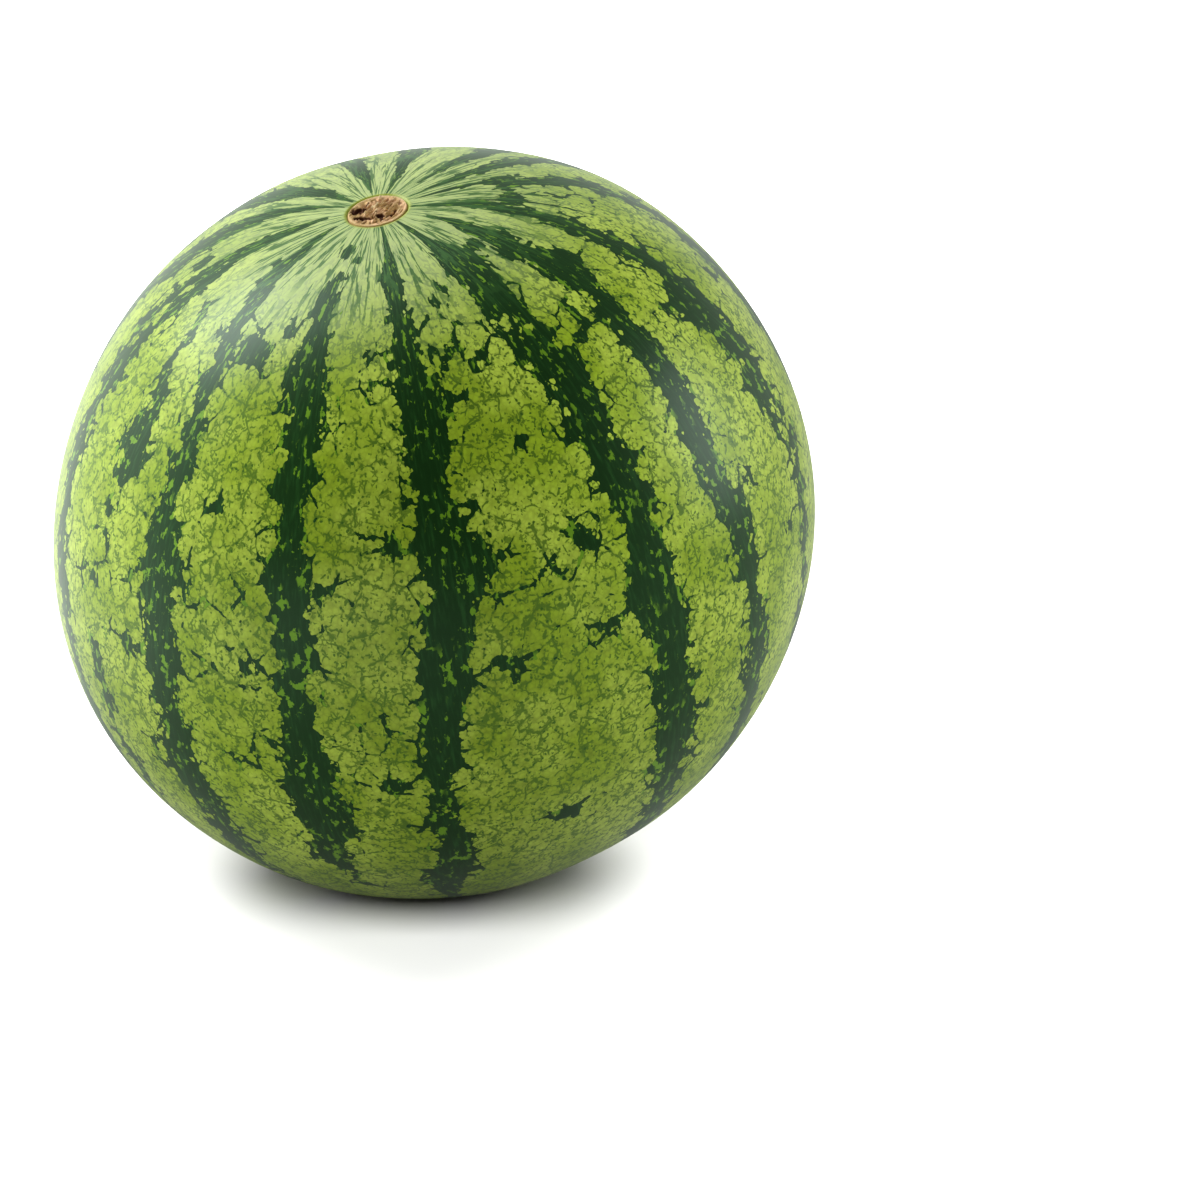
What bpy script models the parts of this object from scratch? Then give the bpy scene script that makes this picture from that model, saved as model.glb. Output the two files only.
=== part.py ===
"""Whole watermelon: one solid fruit that stands on the small flat spot under it.

World frame in metres, +Z up. The origin is the middle of the fruit's footprint, on the surface
it stands on. The stem end leans towards -Y and a little towards -X.
"""

import math

import bmesh
import bpy
from mathutils import Matrix, Vector

# Driving dimensions, in metres unless a comment says otherwise
BODY_RADIUS = 0.1255
STEM_END_SINK = 0.0049
BLOSSOM_END_SINK = 0.0030
END_SPREAD = 0.45            # radians from a pole over which that end is flattened
SKEW = 0.041                 # sideways growth of the body per unit of height
UNDERSIDE_SAG = 0.012        # share of its radius that the body loses straight below
SAG_SHARPNESS = 6            # higher keeps the sag closer to the point of contact
REST_DEPTH = 0.0021          # thickness pressed flat where the fruit stands

# The stem axis, as the way that the stem end points
STEM_AXIS = (-0.180, -0.288, 0.950)

# Shallow lengthwise lobes: (how many round the fruit, height in metres, turn in radians)
LOBES = ((3, 0.00045, 0.4), (5, 0.00055, 1.9), (9, 0.00030, 0.7))

# Stem scar: a corky ring around a shallow pit, where the stalk broke off
SCAR_RADIUS = 0.0100
SCAR_RIM_HEIGHT = 0.0007
SCAR_RIM_WIDTH = 0.0016
SCAR_PIT_DEPTH = 0.0014
SCAR_RING_RADII = (0.003, 0.006, 0.008, 0.0092, 0.010, 0.0108, 0.0122, 0.0150)

# Mesh density
SEGMENTS = 60
BODY_RINGS = 38

RIND_COLOR = (0.16, 0.27, 0.035, 1.0)
RIND_ROUGHNESS = 0.32


def clear_scene():
    """Take away whatever the scene holds."""
    for old in list(bpy.data.objects):
        bpy.data.objects.remove(old, do_unlink=True)


def rind_material():
    """Waxy green skin."""
    material = bpy.data.materials.new("watermelon_rind")
    material.use_nodes = True
    shader = material.node_tree.nodes["Principled BSDF"]
    shader.inputs["Base Color"].default_value = RIND_COLOR
    shader.inputs["Roughness"].default_value = RIND_ROUGHNESS
    shader.inputs["Metallic"].default_value = 0.0
    material.diffuse_color = RIND_COLOR
    return material


def bell(distance, spread):
    """A smooth bump: 1 at no distance, fading out over the spread."""
    return math.exp(-((distance / spread) ** 2))


def scar_relief(off_axis):
    """Height of the stem scar above the plain skin, at a distance from the stem axis."""
    rim = SCAR_RIM_HEIGHT * bell(off_axis - SCAR_RADIUS, SCAR_RIM_WIDTH)
    inner_edge = SCAR_RADIUS - SCAR_RIM_WIDTH
    pit = SCAR_PIT_DEPTH if off_axis < inner_edge else 0.0
    return rim - pit


def skin_radius(polar, around):
    """Distance from the fruit's middle to its skin, at an angle from the stem and one around it."""
    sink = STEM_END_SINK * bell(polar, END_SPREAD)
    sink += BLOSSOM_END_SINK * bell(math.pi - polar, END_SPREAD)
    waist = math.sin(polar) ** 2
    lobes = sum(height * math.cos(count * around + turn) for count, height, turn in LOBES)
    off_axis = BODY_RADIUS * math.sin(polar) if polar < math.pi / 2 else BODY_RADIUS
    return BODY_RADIUS - sink + lobes * waist + scar_relief(off_axis)


def skin_point(polar, around, stand_up):
    """One point of the skin, turned to the way the fruit lies and settled on its underside."""
    ring = math.sin(polar)
    way = Vector((ring * math.cos(around), ring * math.sin(around), math.cos(polar)))
    point = stand_up @ (way * skin_radius(polar, around))
    point.x += SKEW * point.z
    downward = max(-point.z, 0.0) / point.length
    return point * (1.0 - UNDERSIDE_SAG * downward ** SAG_SHARPNESS)


def polar_angles():
    """Angles of the rings from the stem end: fine over the scar, then even over the body."""
    fine = [math.asin(radius / BODY_RADIUS) for radius in SCAR_RING_RADII]
    step = (math.pi - fine[-1]) / BODY_RINGS
    return fine + [fine[-1] + step * index for index in range(1, BODY_RINGS)]


def body_mesh():
    """Rings of points around the stem axis, joined by faces and closed at both poles."""
    stand_up = Vector((0.0, 0.0, 1.0)).rotation_difference(Vector(STEM_AXIS)).to_matrix()
    body = bmesh.new()
    rings = []
    for polar in polar_angles():
        turns = [math.tau * index / SEGMENTS for index in range(SEGMENTS)]
        rings.append([body.verts.new(skin_point(polar, turn, stand_up)) for turn in turns])
    stem_pole = body.verts.new(skin_point(0.0, 0.0, stand_up))
    blossom_pole = body.verts.new(skin_point(math.pi, 0.0, stand_up))
    for index in range(SEGMENTS):
        after = (index + 1) % SEGMENTS
        body.faces.new((stem_pole, rings[0][index], rings[0][after]))
        body.faces.new((blossom_pole, rings[-1][after], rings[-1][index]))
        for upper, lower in zip(rings, rings[1:]):
            body.faces.new((upper[index], lower[index], lower[after], upper[after]))
    return body


def stand_on_flat(body):
    """Set the underside on z = 0, press it flat there and centre the footprint on the origin."""
    lowest = min(vert.co.z for vert in body.verts)
    bmesh.ops.translate(body, verts=body.verts, vec=(0.0, 0.0, -lowest - REST_DEPTH))
    every_part = body.verts[:] + body.edges[:] + body.faces[:]
    bmesh.ops.bisect_plane(
        body, geom=every_part, plane_co=(0, 0, 0), plane_no=(0, 0, -1), clear_outer=True
    )
    rim = [edge for edge in body.edges if edge.is_boundary]
    bmesh.ops.edgeloop_fill(body, edges=rim)
    middle = [
        (min(vert.co[axis] for vert in body.verts) + max(vert.co[axis] for vert in body.verts)) / 2
        for axis in (0, 1)
    ]
    bmesh.ops.translate(body, verts=body.verts, vec=(-middle[0], -middle[1], 0.0))
    bmesh.ops.recalc_face_normals(body, faces=body.faces)


def build_watermelon():
    """The whole fruit as one closed solid."""
    body = body_mesh()
    stand_on_flat(body)
    mesh = bpy.data.meshes.new("watermelon")
    body.to_mesh(mesh)
    body.free()
    mesh.shade_smooth()
    mesh.set_sharp_from_angle(angle=math.radians(30))
    mesh.materials.append(rind_material())
    watermelon = bpy.data.objects.new("watermelon", mesh)
    bpy.context.scene.collection.objects.link(watermelon)
    return watermelon


def main():
    clear_scene()
    build_watermelon()


main()
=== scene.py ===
# %% [markdown]
# # A whole watermelon
# This file builds the looks of one watermelon around its imported solid. A watermelon is one piece of
# nature, but three skins of it look quite different: the waxy striped rind, the dry corky scar where
# the stalk broke off, and the small button where the blossom was. Each gets its own mesh; the rind
# and the scar each have a finish of their own, and the button shares the scar's corky finish.
# Lengths are in metres where nothing else is said. The fruit stands on z = 0 and its stem end leans
# towards -Y.

import math

import bpy
import numpy as np
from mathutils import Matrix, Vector, noise


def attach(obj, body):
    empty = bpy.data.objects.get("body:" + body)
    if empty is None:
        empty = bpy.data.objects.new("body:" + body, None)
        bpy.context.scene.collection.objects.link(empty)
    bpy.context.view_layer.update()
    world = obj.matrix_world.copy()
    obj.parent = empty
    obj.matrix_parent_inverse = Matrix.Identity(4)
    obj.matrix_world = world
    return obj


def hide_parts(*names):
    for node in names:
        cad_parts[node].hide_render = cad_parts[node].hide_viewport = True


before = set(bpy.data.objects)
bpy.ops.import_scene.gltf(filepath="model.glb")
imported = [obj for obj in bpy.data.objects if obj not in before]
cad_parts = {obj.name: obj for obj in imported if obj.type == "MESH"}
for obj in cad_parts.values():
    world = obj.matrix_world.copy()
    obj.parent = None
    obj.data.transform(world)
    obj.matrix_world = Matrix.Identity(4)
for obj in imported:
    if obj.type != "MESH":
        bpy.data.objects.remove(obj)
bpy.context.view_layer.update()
MM = 0.001

# %% [markdown]
# ## Node trees as arithmetic
# Geometry Nodes and shaders are both graphs. Placing nodes one by one hides the idea behind them, so a
# socket is wrapped in a small class that understands + - * /. Numbers use Math nodes and vectors use
# Vector Math nodes. Every other kind of node comes from one function, `node`.

# %% A socket that Python can calculate with
class Field:
    """One output of a node. Arithmetic on it adds the node that does the same sum."""

    def __init__(self, tree, socket):
        self.tree = tree
        self.socket = socket

    def combine(self, operation, first, second):
        sides = [side for side in (first, second) if isinstance(side, Field)]
        if any(side.socket.type in ("VECTOR", "RGBA") for side in sides):
            return node(self.tree, "ShaderNodeVectorMath", {"operation": operation}, first, second)
        return node(self.tree, "ShaderNodeMath", {"operation": operation}, first, second)

    def __add__(self, other):
        return self.combine("ADD", self, other)

    def __radd__(self, other):
        return self.combine("ADD", other, self)

    def __sub__(self, other):
        return self.combine("SUBTRACT", self, other)

    def __rsub__(self, other):
        return self.combine("SUBTRACT", other, self)

    def __mul__(self, other):
        return self.combine("MULTIPLY", self, other)

    def __rmul__(self, other):
        return self.combine("MULTIPLY", other, self)

    def __truediv__(self, other):
        return self.combine("DIVIDE", self, other)

    def __pow__(self, other):
        return self.combine("POWER", self, other)

    def at_least(self, other):
        return self.combine("MAXIMUM", self, other)

    def output(self, name):
        """Another output of the node that this field comes from."""
        return Field(self.tree, self.socket.node.outputs[name])


def node(tree, kind, settings, *ordered, out=0, **named):
    """Adds a node: its settings first, then its inputs in order, then its inputs by name."""
    made = tree.nodes.new(kind)
    for name, setting in settings.items():
        setattr(made, name, setting)
    spelled = {name.replace("_", " "): value for name, value in named.items()}
    for place, value in [*enumerate(ordered), *spelled.items()]:
        socket = made.inputs[place]
        if isinstance(value, Field):
            tree.links.new(value.socket, socket)
        elif socket.type == "VECTOR" and isinstance(value, (int, float)):
            socket.default_value = (value, value, value)
        elif value is not None:
            socket.default_value = value
    return Field(tree, made.outputs[out]) if made.outputs else made


def worked_out(operation, field):
    """A Math node that takes one value, such as a sine."""
    return node(field.tree, "ShaderNodeMath", {"operation": operation}, field)


def sine(field):
    return worked_out("SINE", field)


def cosine(field):
    return worked_out("COSINE", field)


def bell(field, spread):
    """A smooth bump: 1 where the field is 0, fading out over the spread."""
    scaled = field / spread
    return worked_out("EXPONENT", scaled * scaled * -1.0)


def length_of(vector):
    return node(vector.tree, "ShaderNodeVectorMath", {"operation": "LENGTH"}, vector, out="Value")


def scaled_by(vector, factor):
    return node(vector.tree, "ShaderNodeVectorMath", {"operation": "SCALE"}, vector, Scale=factor)


def parts_of(vector):
    """A vector's x, y and z."""
    x = node(vector.tree, "ShaderNodeSeparateXYZ", {}, vector)
    return x, x.output("Y"), x.output("Z")


def vector_of(tree, x, y, z):
    return node(tree, "ShaderNodeCombineXYZ", {}, x, y, z)


print("node helpers ready")

# %% [markdown]
# ## The shape of the fruit
# A real melon of this kind is close to a ball, flattened a little at the stem end and at the blossom
# end, with a few shallow lobes running lengthwise from the way it grew. It grew a little askew, and its
# weight has settled the underside. That is a rule and not a sculpture, so Geometry Nodes make it: a
# flat grid is wrapped round the stem axis, and each point's distance from the middle is worked out.
# The numbers are the same as the solid's, which is why the fine skin lies on it.

# %% Sizes of the fruit
BODY_RADIUS = 0.1255
STEM_END_SINK = 0.0049
BLOSSOM_END_SINK = 0.0030
END_SPREAD = 0.45            # how far the two sunken ends reach, in radians
SKEW = 0.041                 # how far it leans to +X for each metre up
UNDERSIDE_SAG = 0.012        # how much its weight pulls in the underside, as a share of the radius
SAG_SHARPNESS = 6
REST_DEPTH = 0.0021          # how much of the bottom the flat takes away
STEM_AXIS = Vector((-0.180, -0.288, 0.950)).normalized()
LOBES = ((3, 0.00045, 0.4), (5, 0.00055, 1.9), (9, 0.00030, 0.7))    # how many, how high, turned by
SCAR_RADIUS = 0.0104
SCAR_SEAT_DEPTH = 0.0034      # the cork sits in this seat; the solid has only a shallow dent here
SEAT_FLOOR = 0.90             # the seat is at its full depth out to this share of the scar's radius

AROUND_STEPS = 384
ALONG_STEPS = 255
RING_CROWDING = 0.8          # share of the rings' spread that crowds them towards the stem
RING_POWER = 1.5
GROWTH_CORE = 0.35           # how blunt the fruit's grain is at the poles, as a share of its radius
WELD = 0.00002               # points closer than this become one, at the poles and along the seam

upright_to_stem = Vector((0, 0, 1)).rotation_difference(STEM_AXIS)
print("the stem end leans", round(math.degrees(upright_to_stem.angle), 1), "degrees")

# %% [markdown]
# The tree below also leaves four notes on every point, which the rind's pattern reads later. "polar"
# and "around" are the point's angles. "grain" is its place on an imaginary blunt barrel. The rind's
# cells were laid down when the fruit was tiny and were then stretched lengthwise near its ends, so a
# pattern drawn evenly on the barrel comes out long and thin near the stem, as on the real fruit.
# "fibre" is its place on a straight tube, for the fine streaks that all run from end to end.

# %% The inputs of the fruit's tree
FRUIT_SIZES = {
    "Body radius": BODY_RADIUS, "Stem end sink": STEM_END_SINK, "Blossom end sink": BLOSSOM_END_SINK,
    "End spread": END_SPREAD, "Skew": SKEW, "Underside sag": UNDERSIDE_SAG,
    "Scar radius": SCAR_RADIUS, "Scar seat depth": SCAR_SEAT_DEPTH,
}
FRUIT_STEPS = {"Steps around": AROUND_STEPS, "Steps along": ALONG_STEPS}


def add_fruit_sockets(tree):
    sockets = tree.interface
    for name in FRUIT_SIZES:
        sockets.new_socket(name, in_out="INPUT", socket_type="NodeSocketFloat")
    for name in FRUIT_STEPS:
        sockets.new_socket(name, in_out="INPUT", socket_type="NodeSocketInt")
    sockets.new_socket("Rind", in_out="INPUT", socket_type="NodeSocketMaterial")
    sockets.new_socket("Geometry", in_out="OUTPUT", socket_type="NodeSocketGeometry")


print(len(FRUIT_SIZES) + len(FRUIT_STEPS), "sizes and steps")

# %% The tree that wraps a grid into a fruit
def fruit_tree():
    tree = bpy.data.node_groups.new("fruit_shape", "GeometryNodeTree")
    add_fruit_sockets(tree)
    given = node(tree, "NodeGroupInput", {})

    grid = node(tree, "GeometryNodeMeshGrid", {}, 1.0, 1.0,
                given.output("Steps around") + 1, given.output("Steps along") + 1)
    place = node(tree, "GeometryNodeInputPosition", {})
    x, y, _ = parts_of(place)
    around = (x + 0.5) * math.tau
    down = (0.5 - y).at_least(0.0)
    polar = (down * (1 - RING_CROWDING) + down ** RING_POWER * RING_CROWDING) * math.pi
    waist = sine(polar)
    way = vector_of(tree, waist * cosine(around), waist * sine(around), cosine(polar))

    radius = given.output("Body radius")
    sink = bell(polar, given.output("End spread")) * given.output("Stem end sink")
    sink = sink + bell(math.pi - polar, given.output("End spread")) * given.output("Blossom end sink")
    reach = radius - sink
    for count, height, turn in LOBES:
        reach = reach + cosine(around * count + turn) * height * waist * waist
    near_axis = node(tree, "ShaderNodeMapRange", {"interpolation_type": "SMOOTHSTEP"},
                     Value=radius * polar, From_Min=given.output("Scar radius") * SEAT_FLOOR,
                     From_Max=given.output("Scar radius"), To_Min=1.0, To_Max=0.0)
    reach = reach - near_axis * given.output("Scar seat depth")

    point = node(tree, "ShaderNodeVectorRotate", {"rotation_type": "AXIS_ANGLE"},
                 Vector=scaled_by(way, reach), Axis=tuple(upright_to_stem.axis),
                 Angle=upright_to_stem.angle)
    px, py, pz = parts_of(point)
    point = vector_of(tree, px + pz * given.output("Skew"), py, pz)
    downward = (pz * -1.0).at_least(0.0) / length_of(point)
    settled = 1 - given.output("Underside sag") * downward ** SAG_SHARPNESS
    point = scaled_by(point, settled)

    blunt = ((waist * waist + GROWTH_CORE ** 2) ** 0.5) * radius
    grain = vector_of(tree, blunt * cosine(around), blunt * sine(around), cosine(polar) * radius)
    fibre = vector_of(tree, cosine(around) * radius, sine(around) * radius, polar * radius)

    shape = grid
    notes = (("polar", "FLOAT", polar), ("around", "FLOAT", around),
             ("grain", "FLOAT_VECTOR", grain), ("fibre", "FLOAT_VECTOR", fibre))
    for name, kind, value in notes:
        shape = node(tree, "GeometryNodeStoreNamedAttribute", {"data_type": kind, "domain": "POINT"},
                     Geometry=shape, Name=name, Value=value)
    shape = node(tree, "GeometryNodeSetPosition", {}, Geometry=shape, Position=point)
    shape = node(tree, "GeometryNodeMergeByDistance", {}, Geometry=shape, Distance=WELD)
    shape = node(tree, "GeometryNodeSetShadeSmooth", {}, Geometry=shape, Shade_Smooth=True)
    shape = node(tree, "GeometryNodeRealizeInstances", {}, Geometry=shape)
    shape = node(tree, "GeometryNodeSetMaterial", {}, Geometry=shape, Material=given.output("Rind"))
    node(tree, "NodeGroupOutput", {}, shape)
    return tree


print("fruit tree described")

# %% A helper that runs a Geometry Nodes tree and keeps the plain mesh
def grown(name, tree, values, material):
    """Runs a tree on an empty mesh, with its inputs set by name, and returns a plain mesh object."""
    seed = bpy.data.objects.new(name + "_seed", bpy.data.meshes.new(name + "_seed"))
    bpy.context.scene.collection.objects.link(seed)
    modifier = seed.modifiers.new("grow", "NODES")
    modifier.node_group = tree
    for item in tree.interface.items_tree:
        if item.in_out == "INPUT":
            chosen = material if item.socket_type == "NodeSocketMaterial" else values[item.name]
            modifier[item.identifier] = chosen
    bpy.context.view_layer.update()
    evaluated = seed.evaluated_get(bpy.context.evaluated_depsgraph_get())
    mesh = bpy.data.meshes.new_from_object(
        evaluated, preserve_all_data_layers=True, depsgraph=bpy.context.evaluated_depsgraph_get())
    mesh.name = name
    bpy.data.objects.remove(seed)
    made = bpy.data.objects.new(name, mesh)
    bpy.context.scene.collection.objects.link(made)
    mesh.materials.clear()
    mesh.materials.append(material)
    mesh.polygons.foreach_set("material_index", [0] * len(mesh.polygons))
    return made


def points_of(mesh):
    points = np.empty(len(mesh.vertices) * 3, np.float32)
    mesh.vertices.foreach_get("co", points)
    return points.reshape(-1, 3).astype(float)


def set_points(mesh, points):
    mesh.vertices.foreach_set("co", points.astype(np.float32).ravel())
    mesh.update()


def read_note(mesh, name):
    """A number that the tree left on every point."""
    values = np.empty(len(mesh.vertices), np.float32)
    mesh.attributes[name].data.foreach_get("value", values)
    return values.astype(float)


def write_note(mesh, name, values):
    note = mesh.attributes.new(name, "FLOAT", "POINT")
    note.data.foreach_set("value", values.astype(np.float32))


# %% Grow the fruit and stand it on its flat
rind_finish = bpy.data.materials.new("striped_rind")
rind = grown("rind", fruit_tree(), {**FRUIT_SIZES, **FRUIT_STEPS}, rind_finish)

FLAT_EDGE = 0.0003            # how softly the skin rounds into the flat that it stands on


def lift_to_ground(points):
    """The move that centres the fruit and leaves its lowest points just under the ground."""
    low, high = points.min(0), points.max(0)
    return np.array([-(low[0] + high[0]) / 2, -(low[1] + high[1]) / 2, -low[2] - REST_DEPTH])


skin_points = points_of(rind.data)
lift = lift_to_ground(skin_points)
skin_points += lift
heights = skin_points[:, 2]
skin_points[:, 2] = (heights + np.sqrt(heights ** 2 + FLAT_EDGE ** 2)) / 2
set_points(rind.data, skin_points)
fruit_middle = Vector(lift)
print("rind:", len(rind.data.vertices), "points; middle at", [round(v, 4) for v in fruit_middle])
print("box:", [round(v / MM, 1) for v in skin_points.max(0) - skin_points.min(0)], "mm")

# %% [markdown]
# ## Where the stripes run
# The dark stripes follow the seams of the fruit from stem to blossom, but each one swells, narrows,
# throws side spurs and sometimes breaks up, and no two are alike. They are written down one by one, as
# a list of places down the fruit: how far from the stem, and where the stripe's two edges are around
# it, in degrees. Zero degrees is on the +X side and -90 faces -Y. Between places the edges run
# straight; the fine lobes come later from the finish. Isolated dark patches and bridges are ovals.

# %% The stripes and patches, in degrees
STRIPES = (
    # from the stem, one edge, other edge
    ((6, -232, -226), (12, -236, -226), (22, -232, -219), (34, -231, -218), (48, -226, -217),
     (60, -224, -213), (74, -222, -212), (90, -221, -213), (108, -219, -210), (124, -217, -211),
     (140, -215, -209), (156, -212, -209)),
    ((6, -213, -209), (14, -212, -205), (26, -209, -196), (36, -204, -192), (44, -202, -194),
     (56, -199, -190), (70, -195, -187), (86, -192, -184), (104, -190, -183), (122, -188, -180),
     (140, -186, -179), (158, -182, -178)),
    ((8, -189, -183), (13, -185, -176), (20, -184, -174), (25, -183, -170), (30, -182, -170),
     (35, -180, -168), (40, -180, -169), (46, -177, -167), (51, -175, -169), (56, -174, -168),
     (61, -172, -166), (66, -169, -164), (71, -168, -163), (77, -166, -160), (84, -163, -159),
     (96, -161, -156), (110, -160, -153), (126, -157, -151), (142, -156, -150), (158, -155, -151)),
    ((29, -160.5, -159), (33, -156.5, -154), (38, -155, -152.5), (42, -153, -149.5),
     (45, -152.5, -146.5), (50, -153.5, -147), (54, -153, -147), (58, -151.8, -149),
     (62, -151.2, -150.2)),
    ((83, -151.2, -149.6), (87, -151.5, -148), (91, -151, -148.4), (95, -150.4, -149.4),
     (99, -151.5, -147.5), (104, -149.5, -146.5), (112, -149, -147), (120, -148, -146),
     (130, -147, -144)),
    ((7, -161, -157), (10, -158, -150.5), (14, -154, -144.5), (20, -151, -141.5), (25, -146.5, -139),
     (30, -144, -135.5), (35, -141, -134.5), (40, -140.3, -134.5), (45, -138.5, -133.5),
     (51, -138.2, -133.2), (57, -138.2, -133), (62, -138.5, -130.5), (66, -138.5, -129.5),
     (71, -138, -131), (75, -137.3, -130.5), (80, -138, -128.5), (84, -135.6, -130.8),
     (88, -134.5, -129.5), (92, -134.8, -130.2), (96, -137, -129.2), (100, -135.3, -128.6),
     (105, -133.6, -127.6), (111, -133.6, -126.6), (116, -132.8, -127.6), (121, -131.4, -127.8),
     (130, -131, -126), (142, -131, -124), (158, -129, -124)),
    ((16, -112.5, -108.5), (20, -117, -108), (25, -115, -107.5), (30, -116, -106.5),
     (35, -117, -107.5), (38, -115, -105), (45, -113, -104.5), (50, -114, -107), (55, -113, -107),
     (60, -114, -107.5), (65, -113.5, -106), (70, -113.5, -106.6), (75, -113, -106.3),
     (80, -113, -108), (84, -113.8, -107.4), (90, -113.8, -106.3), (95, -114, -105),
     (100, -113.6, -106), (104, -114.4, -106), (109, -113.8, -106.6), (113, -115, -109),
     (117, -113, -109.5), (121, -112.2, -110.8)),
    ((4, -85.5, -82.5), (8, -85.8, -80.5), (12, -86.5, -80.8), (16, -89, -80.5), (22, -88.5, -81.5),
     (27, -88, -81.2), (33, -88.5, -81.5), (39, -89, -78.5), (45, -89, -79.5), (51, -88.5, -81.5),
     (57, -89, -80), (61, -89.5, -78), (65, -89, -77.5), (70, -89.5, -81), (75, -91, -83),
     (80, -92, -84), (86, -93, -86), (92, -93, -87), (100, -94, -89.5), (106, -95.2, -89.8),
     (111, -94, -87.6), (116, -95.5, -89), (121, -98, -89), (126, -97, -92), (134, -98, -93),
     (148, -98, -92), (160, -97, -93)),
    ((4, -58, -53.5), (8, -58.2, -52.5), (12, -58.5, -52), (16, -60.3, -48.5), (20, -61, -45),
     (25, -59.5, -46), (30, -60.5, -48.5), (35, -60.3, -48.5), (40, -59.6, -47.5), (45, -56.8, -47),
     (50, -57.5, -49), (55, -57, -49.5), (60, -58, -49), (65, -56.5, -48), (70, -57, -50),
     (74, -57.6, -50), (79, -59.5, -50.5), (85, -57, -50), (94, -57.5, -51), (106, -58, -50),
     (118, -57, -51), (132, -58, -50), (146, -57, -52), (160, -57, -53)),
    ((9, -30, -27), (13, -31, -24.5), (16, -35, -26), (20, -36, -24.5), (25, -37, -27.5),
     (30, -35, -23.5), (35, -33.5, -26), (38, -37.5, -28.5), (43, -35.8, -29), (48, -36.8, -29.5),
     (54, -37, -30.8), (60, -38.8, -32.4), (65, -39.2, -33.4), (70, -39.5, -33.5), (76, -38.4, -33.5),
     (81, -38.3, -34), (86, -39.4, -34.2), (91, -37.8, -34.6), (102, -39, -34), (116, -39, -33),
     (130, -40, -34), (146, -39, -35), (160, -39, -36)),
    ((4, -6.5, -3), (9, -8.8, -2.8), (13, -8.8, -2), (16, -9.5, 0), (20, -13, -4.5), (24, -12.4, -6),
     (29, -14.5, -6), (34, -13.8, -6), (40, -14, -6), (44, -13.6, -6.5), (48, -20.5, -8),
     (52, -20, -9), (56, -17.2, -9.4), (60, -17.6, -9.2), (64, -19, -11.4), (68, -19, -11.2),
     (72, -18.4, -11.4), (76, -17, -11), (81, -17.4, -12.6), (86, -18.2, -14.4), (92, -19.4, -16.2),
     (98, -20, -17.4), (108, -20.5, -16), (120, -20, -13), (134, -19, -12), (148, -17, -13),
     (160, -16, -13)),
    ((6, 15, 18), (11, 16.5, 21.5), (16, 18, 23), (20, 13, 24.5), (25, 15, 24), (30, 16.5, 25),
     (36, 15.8, 24), (42, 16, 22.5), (47, 14, 21), (51, 9, 19), (56, 6, 14.5), (63, 3, 10.5),
     (72, 1, 9), (84, 0, 7), (96, 0, 8.5), (110, 1, 7), (124, 3, 10), (140, 4, 9), (156, 6, 9)),
    ((6, 28, 31), (12, 29, 34.5), (18, 31.5, 38), (26, 33.5, 42), (36, 35, 43), (46, 36, 43),
     (58, 33.5, 42), (70, 33, 40), (84, 30, 39), (100, 29, 36), (114, 30, 38), (130, 31, 37),
     (146, 32, 38), (160, 33, 36)),
    ((10, 47, 50), (20, 47, 53.5), (28, 48, 57.5), (38, 51, 60), (50, 53, 60), (62, 53, 63),
     (76, 52, 60), (90, 53, 60), (106, 53, 62), (120, 55, 61), (136, 56, 63), (152, 57, 61)),
    ((5, 72, 75), (12, 71, 77), (24, 72, 82), (36, 74, 83), (50, 73, 81), (64, 74, 84), (80, 76, 83),
     (96, 76, 85), (112, 75, 83), (128, 77, 84), (144, 78, 83), (158, 79, 82)),
    ((7, 96, 99), (16, 95, 103), (28, 97, 107), (42, 96, 104), (56, 98, 106), (72, 98, 108),
     (88, 99, 106), (104, 101, 109), (120, 100, 108), (136, 101, 107), (154, 103, 106)),
)
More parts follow.
